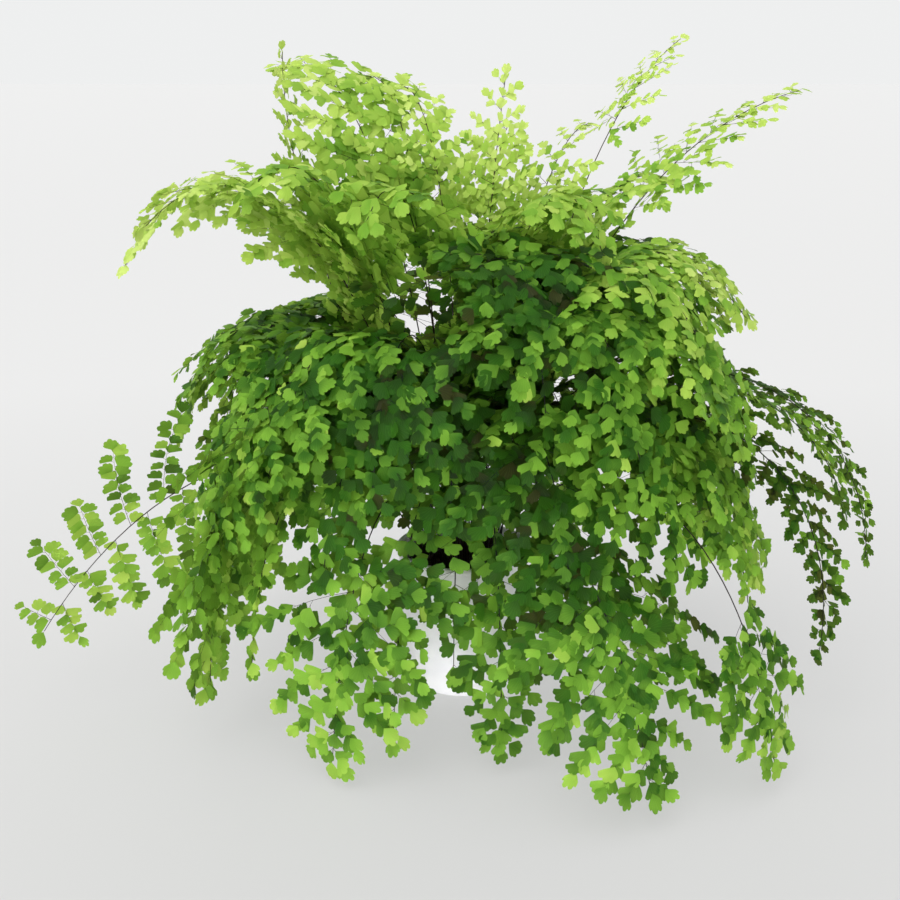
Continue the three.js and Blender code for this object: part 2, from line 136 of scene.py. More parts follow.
# Maidenhair stem: hard, wiry and black, polished like lacquer and a little browner in places.
def makeStemMaterial(look):
    material, tree = newMaterial("polishedWiryStem")
    place = addNode(tree, "TexCoord").outputs["Object"]
    grain = addNode(tree, "TexNoise", {"Scale": 1 / look["grainSize"], "Detail": 3.0}, {"Vector": place})
    # The stem's tone is its frond's youth, which is partly painted shade, so stems of the darker middle
    # fronds are blacker.
    youthAndLight = addNode(tree, "Attribute", {"attribute_name": "tone"}).outputs["Fac"]
    mixed = addNode(tree, "Math", {"operation": "MULTIPLY"}, {0: youthAndLight, 1: grain.outputs["Fac"]})
    color = addNode(tree, "ValToRGB", None, {"Fac": mixed.outputs[0]}, look["colors"])
    bump = addNode(tree, "Bump", {"Strength": 0.2, "Distance": look["grainHeight"]},
                   {"Height": grain.outputs["Fac"]})
    shader = addNode(tree, "BsdfPrincipled", {"Roughness": look["roughness"], "IOR": 1.5,
                                              "Specular IOR Level": look["gloss"]},
                     {"Base Color": color.outputs["Color"], "Normal": bump.outputs["Normal"]})
    finishMaterial(tree, shader.outputs["BSDF"])
    return material


leafMaterial = makeLeafMaterial(leafLook)
stemMaterial = makeStemMaterial(stemLook)
print("leaf and stem materials made")


# Each frond, in millimetres: name, heading in degrees, distance of the foot from the pot's axis, then
# (distance out, height) of the three points that draw its arch, the tip's swing and the blade's roll in
# degrees, all as in the solids. Then the finer blade's own length and half width, the size of a leaflet and
# its youth, which also sets its leaflets' tone. The low youth of the fronds in the middle and low at the
# front
# is partly painted shade: it darkens them where the crown shades them.
frondTable = [
    # tall young fronds
    ("top_left_arch", 146, 8, (45, 330), (88, 506), (172, 490), 0, -10, 240, 88, 14, 0.72),
    ("top_left_spire", 163, 17, (90, 260), (150, 400), (145, 500), 0, 0, 120, 34, 7.5, 0.85),
    ("top_left_back", 126, 16, (40, 330), (75, 500), (135, 480), 0, 0, 235, 85, 13, 0.7),
    ("top_left_front", 203, 10, (60, 330), (110, 480), (170, 400), 0, 0, 240, 85, 13.5, 0.6),
    ("top_left_near", 236, 10, (40, 330), (70, 460), (120, 390), 0, 0, 210, 80, 13, 0.5),
    ("top_middle", 60, 8, (15, 260), (40, 420), (45, 482), -10, 0, 130, 42, 8.5, 0.9),
    ("top_middle_thin", 105, 8, (10, 300), (30, 470), (70, 475), 30, 0, 90, 30, 7.5, 0.9),
    ("top_middle_back", 62, 17, (25, 300), (48, 430), (75, 445), 0, 0, 140, 50, 9, 0.85),
    ("top_centre", 15, 0, (10, 290), (35, 425), (95, 395), 0, 0, 200, 62, 9.5, 0.8),
    ("top_right_slim", 30, 17, (60, 260), (100, 450), (200, 510), 0, 0, 100, 40, 8, 0.95),
    ("top_right_mid", 42, 16, (35, 280), (85, 440), (135, 445), 0, 0, 140, 52, 9, 0.85),
    ("right_crown", 16, 17, (40, 300), (105, 430), (165, 405), 0, 0, 190, 70, 10.5, 0.75),
    ("right_top_reach", 8, 8, (60, 290), (130, 440), (258, 472), 0, 10, 160, 50, 9.5, 0.8),
    ("right_lime_a", -12, 16, (55, 330), (130, 420), (212, 312), 0, 10, 235, 80, 11, 0.72),
    ("right_lime_b", 18, 24, (60, 330), (140, 420), (228, 288), 0, -10, 235, 80, 11, 0.7),
    ("right_lime_c", -34, 17, (50, 330), (130, 430), (205, 290), 0, 0, 240, 80, 12, 0.58),
    # arch and mass on the left
    ("upper_left_arch", 181, 18, (50, 330), (165, 500), (258, 345), 0, -20, 230, 60, 10.5, 0.88),
    ("upper_left_inner", 193, 25, (55, 330), (150, 470), (235, 380), 0, 15, 220, 75, 11.5, 0.8),
    ("left_mass_a", 155, 26, (45, 280), (190, 400), (228, 180), 0, 0, 250, 80, 11, 0.46),
    ("left_mass_b", 178, 26, (45, 260), (182, 388), (226, 210), 0, 0, 240, 80, 11, 0.45),
    ("left_mass_c", 213, 19, (50, 260), (180, 370), (220, 150), 0, 0, 240, 80, 11.5, 0.4),
    # low on the left
    ("far_left_low", 190, 34, (70, 230), (220, 240), (335, 65), 0, 60, 200, 76, 12, 0.55),
    ("left_cascade", 206, 33, (60, 250), (200, 300), (216, 40), 0, 45, 250, 84, 14, 0.43),
    ("left_cascade_near", 221, 33, (60, 230), (185, 285), (205, 75), 0, 30, 200, 22, 12, 0.43),
    # arches on the right
    ("right_arch_inner", -6, 25, (65, 320), (280, 280), (300, 150), 0, -20, 330, 44, 10, 0.36),
    ("right_big_arch", 4, 33, (75, 340), (325, 280), (340, 95), 0, -20, 290, 27, 8.5, 0.23),
    ("right_second_arch", -18, 33, (80, 310), (300, 270), (285, 60), 0, -50, 240, 28, 9, 0.13),
    ("right_low", -41, 33, (80, 240), (240, 250), (285, 25), 0, 0, 105, 46, 11.5, 0.42),
    ("right_low_small", -32, 34, (75, 220), (230, 220), (240, 120), 0, 0, 180, 42, 10, 0.5),
    # hanging past the pot at the front
    ("front_right", -62, 33, (60, 230), (200, 200), (260, 30), 0, 0, 180, 76, 13, 0.34),
    ("front_centre", -81, 33, (50, 240), (150, 260), (165, 25), 0, 0, 200, 47, 13, 0.31),
    ("front_left_near", -107, 33, (45, 230), (150, 240), (175, 35), 0, 0, 220, 50, 13.5, 0.4),
    ("front_left", -118, 33, (50, 230), (170, 240), (200, 22), 0, 0, 150, 62, 13.5, 0.42),
    ("front_small", -94, 34, (45, 170), (110, 180), (120, 60), 0, 0, 100, 26, 11, 0.34),
    # middle layer at the front
    ("mid_inner_front", -80, 8, (20, 330), (60, 450), (115, 330), 0, 0, 190, 65, 11.5, 0.3),
    ("mid_inner_right", -42, 8, (25, 340), (80, 480), (130, 360), 0, 0, 190, 70, 11.5, 0.58),
    ("mid_front_a", -72, 17, (30, 340), (120, 460), (170, 265), 0, 0, 240, 85, 12, 0.2),
    ("mid_front_b", -112, 17, (38, 305), (128, 392), (170, 212), 0, 0, 230, 80, 12, 0.18),
    ("mid_front_c", -55, 25, (42, 322), (145, 435), (208, 215), 0, 0, 240, 85, 12, 0.35),
    ("mid_front_d", -137, 25, (40, 300), (130, 390), (190, 210), 0, 0, 230, 80, 12.5, 0.36),
    ("mid_right", -30, 26, (45, 320), (150, 420), (225, 235), 0, 0, 240, 92, 11.5, 0.44),
    ("mid_right_low", -44, 25, (45, 280), (150, 350), (215, 150), 0, 0, 225, 88, 12.5, 0.32),
    # lower layer at the front
    ("low_front_a", -67, 25, (40, 260), (140, 330), (190, 120), 0, 0, 240, 80, 13, 0.2),
    ("low_front_b", -94, 25, (40, 260), (128, 335), (152, 185), 0, 0, 220, 80, 13, 0.17),
    ("low_front_c", -124, 25, (40, 260), (140, 315), (178, 150), 0, 0, 230, 66, 13, 0.3),
    ("low_right", -20, 24, (50, 260), (180, 320), (235, 125), 0, 0, 240, 100, 12, 0.46),
    ("low_left", -156, 25, (45, 250), (165, 310), (206, 95), 0, 0, 240, 80, 12.5, 0.5),
    # back
    ("back_a", 38, 25, (40, 340), (140, 450), (205, 240), 0, 0, 240, 85, 12, 0.35),
    ("back_b", 84, 17, (35, 330), (140, 420), (190, 215), 0, 0, 240, 85, 12, 0.3),
    ("back_c", 131, 20, (40, 310), (135, 385), (195, 190), 0, 0, 240, 85, 12, 0.3),
    ("back_low_a", 26, 33, (50, 260), (190, 310), (240, 100), 0, 0, 240, 80, 12, 0.25),
    ("back_low_b", 60, 30, (50, 250), (190, 300), (225, 55), 0, 0, 240, 80, 12, 0.3),
    ("back_low_c", 92, 32, (50, 260), (180, 320), (215, 110), 0, 0, 240, 80, 12, 0.25),
    ("back_low_d", 120, 32, (50, 250), (190, 290), (225, 50), 0, 0, 240, 80, 12, 0.3),
    ("back_low_e", 146, 30, (50, 260), (190, 310), (235, 100), 0, 0, 240, 80, 12, 0.25),
]

fern = {
    "soilTop": 105, "stemDepth": 10,
    "sag": 0.0016,          # how a blade's sides bend down, against the square of the way out from its stem
    "stemRadius": 0.7, "tipRadius": 0.28, "branchRadius": 0.22, "twigRadius": 0.16, "branchEnd": 0.1,
    "stemSides": 6, "branchSides": 3, "stemSteps": 34,
    "branchSteps": {"twigged": 6, "plain": 6, "twig": 4},
    "swingAtTop": 0.35,     # the arch's highest point swings by this share of the tip's swing
    "rollFrom": 0.6,        # share of the bare stem after which the blade starts to roll
    # How a frond is built. rows is the distance between a side's pinnae and pitch the one between their
    # leaflets, both in leaflets. turn is the pinnae's angle to the stem at its foot, closing takes it down
    # toward the tip and skew turns both sides the same way. splay opens the leaflets, spread scatters how
    # they face and toLight turns them to the light. A twigged pinna carries side branches, a plain one only
    # leaflets.
    "builds": {
        "usual": {"rows": 1.8, "pitch": 0.36, "turn": 74, "closing": 26, "skew": 0, "bend": (4, 15),
                  "splay": 0, "spread": 0.24, "toLight": 0.45, "pinna": "twigged"},
        "dense": {"rows": 1.25, "pitch": 0.36, "turn": 74, "closing": 26, "skew": 0, "bend": (4, 15),
                  "splay": 0, "spread": 0.3, "toLight": 0.45, "pinna": "twigged"},
        "facing": {"rows": 1.45, "pitch": 0.38, "turn": 74, "closing": 26, "skew": 0, "bend": (4, 15),
                   "splay": 6, "spread": 0.3, "toLight": 0.9, "pinna": "twigged"},
        "airy": {"rows": 2.3, "pitch": 0.5, "turn": 70, "closing": 20, "skew": 0, "bend": (0, 15),
                 "splay": 0, "spread": 0.3, "toLight": 0, "pinna": "twigged"},
        "square": {"rows": 2.6, "pitch": 0.4, "turn": 100, "closing": 24, "skew": 30, "bend": (-8, 4),
                   "splay": 22, "spread": 0.15, "toLight": 1.2, "pinna": "plain"},
    },
    "buildOf": {"front_centre": "dense", "right_low": "dense", "low_right": "dense", "mid_right": "dense",
                "left_cascade": "facing", "left_cascade_near": "facing", "top_left_spire": "airy",
                "top_middle": "airy", "top_middle_thin": "airy", "top_right_slim": "airy",
                "top_right_mid": "airy", "right_top_reach": "airy", "far_left_low": "square"},
    # length of the pinnae along the blade, against the longest, for each kind of pinna
    "profiles": {"twigged": ([0, 0.12, 0.3, 0.6, 0.85, 1], [0.75, 1, 0.95, 0.66, 0.36, 0.14]),
                 "plain": ([0, 0.3, 0.7, 1], [0.95, 1, 0.62, 0.34])},
    "fullness": 1.42,       # pinnae of a full-grown frond, against the half width that the table gives
    "youngFullness": 0.38,  # how much less that is in a frond that is still opening
    "pinnaLength": (0.88, 1.12), "pinnaTurn": (-6, 6), "pinnaSlope": (-13, 13),     # how they differ
    "firstPinna": 0.35,     # how far up the blade the first pinna stands, against the distance between two
    "pinnaTip": 0.5, "shortestPinna": 0.3,      # what the end leaflet adds and the least length, in leaflets
    "twigs": 0.95,          # distance between a pinna's side branches, in leaflets
    "twigShare": 0.46,      # length of a side branch, as a share of what is left of the pinna
    "twigLength": (0.85, 1.15), "twigTurn": (42, 56), "shortestTwig": 1.5,
    # straight ways between the fronds where few leaflets grow: both ends, the radius and the share that grows
    "partings": [((-4, -50, 122), (-7, -270, 214), 20, 0.08), ((-21, -52, 52), (-18, -300, 172), 21, 0.22),
                 ((-27, -210, 354), (-35, 260, 267), 32, 0.1), ((51, -270, 317), (98, 250, 187), 16, 0.3),
                 ((-35, -230, 260), (-46, 100, 156), 10, 0.25), ((87, -200, 244), (146, 250, 98), 14, 0.3)],
    "seed": 41,
}

# How the leaflets sit. Pairs are the least and the most, angles are in degrees and sizes are in leaflets.
leafletForm = {
    "size": (0.78, 1.08), "edgeSize": (0.78, 1.0), "width": (0.86, 1.1),
    "turn": (38, 58), "turnClosing": 0.3, "firstTurn": (-40, 5), "firstPlace": (0.0, 0.3), "bareEnd": 0.25,
    "stalk": 0.14,
    "stalkRadius": 0.12, "stalkTip": 0.4,       # in millimetres; a stalk's tip reaches under the leaflet
    "riding": 1.2,                              # how far the leaflets ride above their branches, the same
    "light": np.array([0.0, -0.93, 0.37]),      # where the light is that the leaflets turn to
    "youngRise": 0.5,                           # how much young leaflets face upward
    "scatter": 0.1, "hang": 0.12,               # how their direction scatters and how far it hangs
    "cup": (-0.15, 0.35), "droop": (-0.1, 0.3), "wave": 0.05, "waves": 8,
    # tone rises toward the tip: leaflets are younger there, and painted shade darkens the blade's foot inside
    # the crown
    "toneAtFoot": 0.7, "toneGain": 0.4,         # leaflets are younger toward the frond's tip
    "unevenness": 0.11, "edgeTone": 0.05,       # how tone varies within a frond and out to a leaflet's edge
}

shortestStipe = 20      # the least bare stem below a blade, in millimetres
archSteps = 121         # places at which an arch's length is measured


# The surface that a frond's blade lies on. It measures a along the rachis and b across it.
class Arch:
    def __init__(self, heading, foot, rise, over, tip, swing, roll, blade):
        turn = math.radians(heading)
        out = np.array([math.cos(turn), math.sin(turn), 0])
        self.across = np.array([-out[1], out[0], 0])
        up = np.array([0, 0, 1])
        self.points = [out * foot + up * fern["soilTop"], out * rise[0] + up * rise[1],
                       out * over[0] + up * over[1] + self.across * fern["swingAtTop"] * swing,
                       out * tip[0] + up * tip[1] + self.across * swing]
        self.shares = np.linspace(0, 1, archSteps)
        path = self.curve(self.shares)
        self.reached = np.concatenate([[0], np.cumsum(np.linalg.norm(np.diff(path, axis=0), axis=1))])
        self.length = self.reached[-1]
        self.bladeStart = max(self.length - blade, shortestStipe)
        self.blade = self.length - self.bladeStart
        self.roll = math.radians(roll)

    def curve(self, t):
        t = np.asarray(t)[:, None]
        p, q, r, s = self.points
        return (1 - t) ** 3 * p + 3 * (1 - t) ** 2 * t * q + 3 * (1 - t) * t * t * r + t ** 3 * s

    def heading(self, t):
        t = np.asarray(t)[:, None]
        p, q, r, s = self.points
        along = (1 - t) ** 2 * (q - p) + 2 * (1 - t) * t * (r - q) + t * t * (s - r)
        return along / np.linalg.norm(along, axis=1, keepdims=True)

    def at(self, a, b, lift=0.0):
        a = np.asarray(a, float)
        b = np.asarray(b, float)
        kept = np.clip(a, 0, self.length)
        t = np.interp(kept, self.reached, self.shares)
        along = self.heading(t)
        point = self.curve(t) + along * (a - kept)[:, None]
        side = self.across - along * (along @ self.across)[:, None]
        side /= np.linalg.norm(side, axis=1, keepdims=True)
        normal = np.cross(along, side)
        rolled = (a / self.bladeStart - fern["rollFrom"]) / (1 - fern["rollFrom"])
        turned = (np.clip(rolled, 0, 1) * self.roll)[:, None]
        across = side * np.cos(turned) + normal * np.sin(turned)
        above = normal * np.cos(turned) - side * np.sin(turned)
        point = point + across * b[:, None] + above * np.broadcast_to(lift, b.shape)[:, None]
        point[:, 2] -= fern["sag"] * b * b
        return point


# The ring inside a leaflet's edge, as a share of its reach, how much wider it fans and how the lobes bulge.
bladeForm = {"middle": 0.56, "middleSpread": 1.06, "bulge": 1.02}


# A leaflet's outline, one leaflet long: how far the blade reaches at each angle from its stalk, with lobes
# cut into its outer edge. It gives the places on it, its triangles and how far round and out each place is.
def makeBlade(angles, reaches, lobes, notch):
    def ring(count, share, spread):
        turn = np.interp(np.linspace(0, 1, count), np.linspace(0, 1, len(angles)), angles)
        reach = share * np.interp(turn, angles, reaches)
        centre = (angles[0] + angles[-1]) / 2
        return np.radians(centre + spread * (turn - centre)), reach

    middleTurn, middle = ring(lobes + 1, bladeForm["middle"], bladeForm["middleSpread"])
    edgeTurn, edge = ring(4 * lobes + 1, 1.0, 1.0)
    edge[4:-1:4] *= 1 - notch
    edge[2::4] *= bladeForm["bulge"]
    x = np.concatenate([[0], middle * np.cos(middleTurn), edge * np.cos(edgeTurn)])
    y = np.concatenate([[0], middle * np.sin(middleTurn), edge * np.sin(edgeTurn)])
    around = np.concatenate([[0.5], np.linspace(0, 1, lobes + 1), np.linspace(0, 1, 4 * lobes + 1)])
    out = np.concatenate([[0], np.full(lobes + 1, bladeForm["middle"]), np.ones(4 * lobes + 1)])
    faces = []
    for k in range(lobes):
        near, far = 1 + k, lobes + 2 + 4 * k
        faces += [(0, near, near + 1), (near, far, far + 1), (near, far + 1, far + 2),
                  (near, far + 2, near + 1), (near + 1, far + 2, far + 3), (near + 1, far + 3, far + 4)]
    return {"x": x, "y": y, "fan": np.stack([around, out], axis=1), "faces": np.array(faces)}


# Side leaflets are oblong and hang from one corner, with a straight lower edge. End leaflets are fans.
sideBlades = [
    makeBlade([-12, 3, 18, 34, 52, 72, 90], [0.94, 1.0, 0.98, 0.9, 0.78, 0.62, 0.38], 4, 0.1),
    makeBlade([-18, -4, 12, 30, 48, 66, 84], [0.9, 1.0, 1.0, 0.92, 0.8, 0.66, 0.42], 4, 0.09),
    makeBlade([-8, 8, 24, 42, 60, 78, 94], [0.93, 1.0, 0.95, 0.86, 0.74, 0.6, 0.4], 4, 0.11),
    makeBlade([-24, -10, 8, 26, 44, 62, 80], [0.8, 0.96, 1.02, 0.95, 0.84, 0.68, 0.46], 4, 0.12),
    makeBlade([-14, 0, 14, 32, 50, 68, 86], [0.88, 1.0, 1.0, 0.88, 0.76, 0.62, 0.38], 3, 0.15),
]
endBlades = [
    makeBlade([-46, -32, -12, 12, 32, 46], [0.6, 0.86, 1.0, 1.0, 0.86, 0.6], 5, 0.12),
    makeBlade([-38, -26, -8, 10, 32, 48], [0.62, 0.88, 1.04, 0.97, 0.84, 0.56], 4, 0.15),
    makeBlade([-50, -34, -14, 8, 26, 40], [0.54, 0.82, 0.97, 1.05, 0.92, 0.66], 4, 0.13),
]


leafSlot, stemSlot = 0, 1       # a frond's materials


# Collects the places and triangles of a piece, with a tone for each place and a material for each triangle.
class Batch:
    def __init__(self):
        self.places, self.faces, self.fans, self.tones, self.slots = [], [], [], [], []
        self.count = 0

    def add(self, places, faces, slot, tones, fans=None):
        self.places.append(places)
        self.faces.append(faces + self.count)
        self.fans.append(np.zeros((len(places), 2)) if fans is None else fans)
        self.tones.append(np.broadcast_to(tones, len(places)))
        self.slots.append(np.full(len(faces), slot))
        self.count += len(places)

    def build(self, name, materials):
        places = np.concatenate(self.places) * mm
        faces = np.concatenate(self.faces)
        mesh = bpy.data.meshes.new(name)
        mesh.from_pydata(places.tolist(), [], faces.tolist())
        mesh.attributes.new("tone", "FLOAT", "POINT").data.foreach_set("value", np.concatenate(self.tones))
        fans = np.concatenate(self.fans)[faces.ravel()]
        mesh.uv_layers.new(name="fan").data.foreach_set("uv", fans.ravel())
        for material in materials:
            mesh.materials.append(material)
        mesh.polygons.foreach_set("material_index", np.concatenate(self.slots))
        mesh.polygons.foreach_set("use_smooth", np.ones(len(faces), dtype=bool))
        mesh.update()
        piece = bpy.data.objects.new(name, mesh)
        bpy.context.scene.collection.objects.link(piece)
        return piece


# A tube along a path, thinning from one radius to the other and closed at its far end.
def addTube(batch, path, radius, endRadius, sides, slot, tone):
    path = np.asarray(path)
    along = np.gradient(path, axis=0)
    along /= np.linalg.norm(along, axis=1, keepdims=True)
    upright = abs(along[0][2]) >= 0.8       # the sides are set out from a direction the tube doesn't take
    guide = np.array([0.93, 0.31, 0.17] if upright else [0.31, 0.17, 0.93])
    first = np.cross(along, guide)
    first /= np.linalg.norm(first, axis=1, keepdims=True)
    second = np.cross(along, first)
    radii = np.linspace(radius, endRadius, len(path))[:, None, None]
    turns = np.linspace(0, 2 * math.pi, sides, endpoint=False)[None, :, None]
    rings = path[:, None] + radii * (first[:, None] * np.cos(turns) + second[:, None] * np.sin(turns))
    faces = []
    for i in range(len(path) - 1):
        for j in range(sides):
            p, q = i * sides + j, i * sides + (j + 1) % sides
            faces += [(p, q, q + sides), (p, q + sides, p + sides)]
    last = (len(path) - 1) * sides
    for j in range(1, sides - 1):
        faces.append((last, last + j, last + j + 1))
    batch.add(rings.reshape(-1, 3), np.array(faces), slot, tone)


# One branch of a frond drawn flat: the path of its axis on the blade, and its leaflets with their place and
# direction. A twigged pinna carries side branches as long as there is room for them, and leaflets beyond.
def drawBranch(rng, build, start, side, turn, length, leaf, slope, kind):
    form = leafletForm
    bend = math.radians(rng.uniform(*build["bend"]))
    steps = fern["branchSteps"][kind]
    shares = np.linspace(0, 1, steps)
    turns = turn - bend * shares
    a = start[0] + np.concatenate([[0], np.cumsum(np.cos(turns[:-1]))]) * length / (steps - 1)
    b = start[1] + side * np.concatenate([[0], np.cumsum(np.sin(turns[:-1]))]) * length / (steps - 1)
    branches = [{"a": a, "b": b, "slope": slope, "kind": kind}]
    leaflets = []

    def addLeaflet(at, heading, sizes, hand, end=False):
        leaflets.append({"at": at, "side": side, "heading": heading, "slope": slope,
                         "size": leaf * rng.uniform(*sizes), "end": end, "hand": hand})

    hand = 1 if rng.uniform() < 0.5 else -1
    if kind == "twigged":       # the first leaflet of a pinna lies across the frond's stem
        addLeaflet(start, math.radians(rng.uniform(*form["firstTurn"])), form["edgeSize"], -side)
    place = leaf * rng.uniform(*form["firstPlace"])
    while place < length - form["bareEnd"] * leaf:
        share = place / length
        where = (np.interp(share, shares, a), np.interp(share, shares, b))
        heading = turn - bend * share
        room = fern["twigShare"] * (length - place) * rng.uniform(*fern["twigLength"])
        if kind == "twigged" and room > fern["shortestTwig"] * leaf:
            twigTurn = heading + hand * math.radians(rng.uniform(*fern["twigTurn"]))
            twig = drawBranch(rng, build, where, side, twigTurn, room, leaf, slope, "twig")
            branches += twig[0]
            leaflets += twig[1]
            place += fern["twigs"] * leaf
        else:
            closed = 1 - form["turnClosing"] * share
            splay = math.radians(rng.uniform(*form["turn"]) * closed + build["splay"])
            addLeaflet(where, heading + hand * splay, form["size"], hand * side)
            place += build["pitch"] * leaf
        hand = -hand
    addLeaflet((a[-1], b[-1]), turn - bend, form["edgeSize"], side, end=True)
    return branches, leaflets


# The share of its leaflets that each of some places keeps: all of them, or few in a way between the fronds.
def keptShare(places):
    kept = np.ones(len(places))
    for first, last, radius, share in fern["partings"]:
        first, way = np.array(first), np.array(last) - np.array(first)
        along = np.clip((places - first) @ way / (way @ way), 0, 1)
        inside = np.linalg.norm(places - first - along[:, None] * way, axis=1) < radius
        kept[inside] = np.minimum(kept[inside], share)
    return kept


# Lays a frond's leaflets on its arch, each one turned and cupped a little differently, and counts those that
# grow.
def addLeaflets(batch, arch, leaflets, rng, youthAndLight, build):
    form = leafletForm
    at, heading, side, size, slope = (np.array([leaflet[key] for leaflet in leaflets])
                                      for key in ("at", "heading", "side", "size", "slope"))
    lift = slope * np.abs(at[:, 1])
    root = arch.at(at[:, 0], at[:, 1], lift)
    alongA = arch.at(at[:, 0] + 1, at[:, 1], lift) - root
    alongB = arch.at(at[:, 0], at[:, 1] + 1, lift + slope * np.sign(at[:, 1])) - root
    alongA /= np.linalg.norm(alongA, axis=1, keepdims=True)
    alongB /= np.linalg.norm(alongB, axis=1, keepdims=True)
    along = alongA * np.cos(heading)[:, None] + alongB * (side * np.sin(heading))[:, None]
    normal = np.cross(alongA, alongB)
    normal /= np.linalg.norm(normal, axis=1, keepdims=True)
    normal *= np.where(normal[:, 2:] < 0, -1, 1)
    normal += rng.normal(0, build["spread"], normal.shape) + np.array([0, 0, form["youngRise"] * youthAndLight])
    normal += build["toLight"] * form["light"] * np.sign(normal @ form["light"])[:, None]
    along += rng.normal(0, form["scatter"], along.shape) + np.array([0, 0, -form["hang"]])
    along /= np.linalg.norm(along, axis=1, keepdims=True)
    normal -= along * np.sum(normal * along, axis=1, keepdims=True)
    normal /= np.linalg.norm(normal, axis=1, keepdims=True)
    across = np.cross(normal, along) * np.sign(np.sum(np.cross(alongA, alongB) * normal, 1))[:, None]
    foot = root + along * (size * form["stalk"])[:, None] + normal * form["riding"]
    alongBlade = np.clip((at[:, 0] - arch.bladeStart) / arch.blade, 0, 1)
    grown = rng.uniform(size=len(foot)) < keptShare(foot)
    # Lighter toward the tip, where leaflets are younger, and darker toward the blade's foot as painted shade.
    tone = youthAndLight * (form["toneAtFoot"] + form["toneGain"] * alongBlade)
    tone = tone + rng.normal(0, form["unevenness"], len(leaflets))
    for i in np.flatnonzero(grown):
        leaflet = leaflets[i]
        kinds = endBlades if leaflet["end"] else sideBlades
        blade = kinds[rng.integers(len(kinds))]
        x = blade["x"]
        y = blade["y"] * rng.uniform(*form["width"])
        cup, droop, phase = rng.uniform(*form["cup"]), rng.uniform(*form["droop"]), rng.uniform(0, 6)
        z = form["wave"] * np.sin(y * form["waves"] + phase) * x - cup * y * y - droop * x * x
        flat = np.stack([x, -y * leaflet["hand"], z], axis=1) * size[i]
        places = foot[i] + flat @ np.stack([along[i], across[i], normal[i]])
        faces = blade["faces"] if leaflet["hand"] < 0 else blade["faces"][:, ::-1]
        batch.add(places, faces, leafSlot, tone[i] + form["edgeTone"] * blade["fan"][:, 1], blade["fan"])
        addTube(batch, [root[i], foot[i] + along[i] * form["stalkTip"]], form["stalkRadius"],
                fern["branchEnd"], fern["branchSides"], stemSlot, youthAndLight)
    return int(grown.sum())


def makeFrond(index, row):
    name, heading, foot, rise, over, tip, swing, roll, blade, halfWidth, leaf, youthAndLight = row
    rng = np.random.default_rng(fern["seed"] * 1000 + index)
    arch = Arch(heading, foot, rise, over, tip, swing, roll, blade)
    batch = Batch()
    stem = arch.at(np.linspace(0, arch.length, fern["stemSteps"]), np.zeros(fern["stemSteps"]))
    buried = stem[0] - np.array([0, 0, fern["stemDepth"]])
    addTube(batch, np.vstack([buried, stem]), fern["stemRadius"], fern["tipRadius"], fern["stemSides"],
            stemSlot, youthAndLight)
    build = fern["builds"][fern["buildOf"].get(name, "usual")]
    count = 2 * max(2, round(arch.blade / (build["rows"] * leaf)))
    longest = (fern["fullness"] - fern["youngFullness"] * youthAndLight) * halfWidth
    leaflets = []
    for k in range(count):
        side = 1 if k % 2 else -1
        share = (k + fern["firstPinna"]) / count
        start = (arch.bladeStart + share * arch.blade, 0.0)
        length = longest * np.interp(share, *fern["profiles"][build["pinna"]])
        length = length * rng.uniform(*fern["pinnaLength"]) - fern["pinnaTip"] * leaf
        length = max(length, fern["shortestPinna"] * leaf)
        turn = build["turn"] - build["closing"] * share + build["skew"] * side
        turn = math.radians(turn + rng.uniform(*fern["pinnaTurn"]))
        slope = math.tan(math.radians(rng.uniform(*fern["pinnaSlope"])))
        branches, borne = drawBranch(rng, build, start, side, turn, length, leaf, slope, build["pinna"])
        for branch in branches:
            path = arch.at(branch["a"], branch["b"], branch["slope"] * np.abs(branch["b"]))
            if np.mean(keptShare(path) < 1) > 0.5:      # it would cross a parting without its leaflets
                continue
            radius = fern["twigRadius"] if branch["kind"] == "twig" else fern["branchRadius"]
            addTube(batch, path, radius, fern["branchEnd"], fern["branchSides"], stemSlot, youthAndLight)
        leaflets += borne
    leaflets.append({"at": (arch.length, 0.0), "side": 1, "heading": 0.0, "slope": 0.0, "size": leaf,
                     "end": True, "hand": 1})
    grown = addLeaflets(batch, arch, leaflets, rng, youthAndLight, build)
    piece = batch.build(name + "_leafy", [leafMaterial, stemMaterial])
    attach(piece, "root")
    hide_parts("frond_" + name)
    return grown, len(piece.data.polygons)


made = [makeFrond(index, row) for index, row in enumerate(frondTable)]
print("fronds made:", len(made), "with", sum(m[0] for m in made), "leaflets and", sum(m[1] for m in made),
      "triangles")


potLook = {
    "height": 115, "mouth": 55, "base": 44, "wall": 2, "floor": 3, "lip": 5, "step": 1.2,
    "sides": 100, "levels": (8, 30, 60, 90),
    "footWidth": 6,         # width of the rounded ring that the pot stands on
    "drains": 5, "drainRadius": 3.5, "drainCircle": 29, "recess": 1.2,
    "white": "#faf8fe", "shade": "#f0eef6",
    "roughness": 0.3, "dulling": 0.18,      # smooth moulding, a little dulled by handling
    "grainSize": 0.7 * mm, "grainHeight": 0.05 * mm, "patchSize": 28 * mm, "softness": 3 * mm,
}


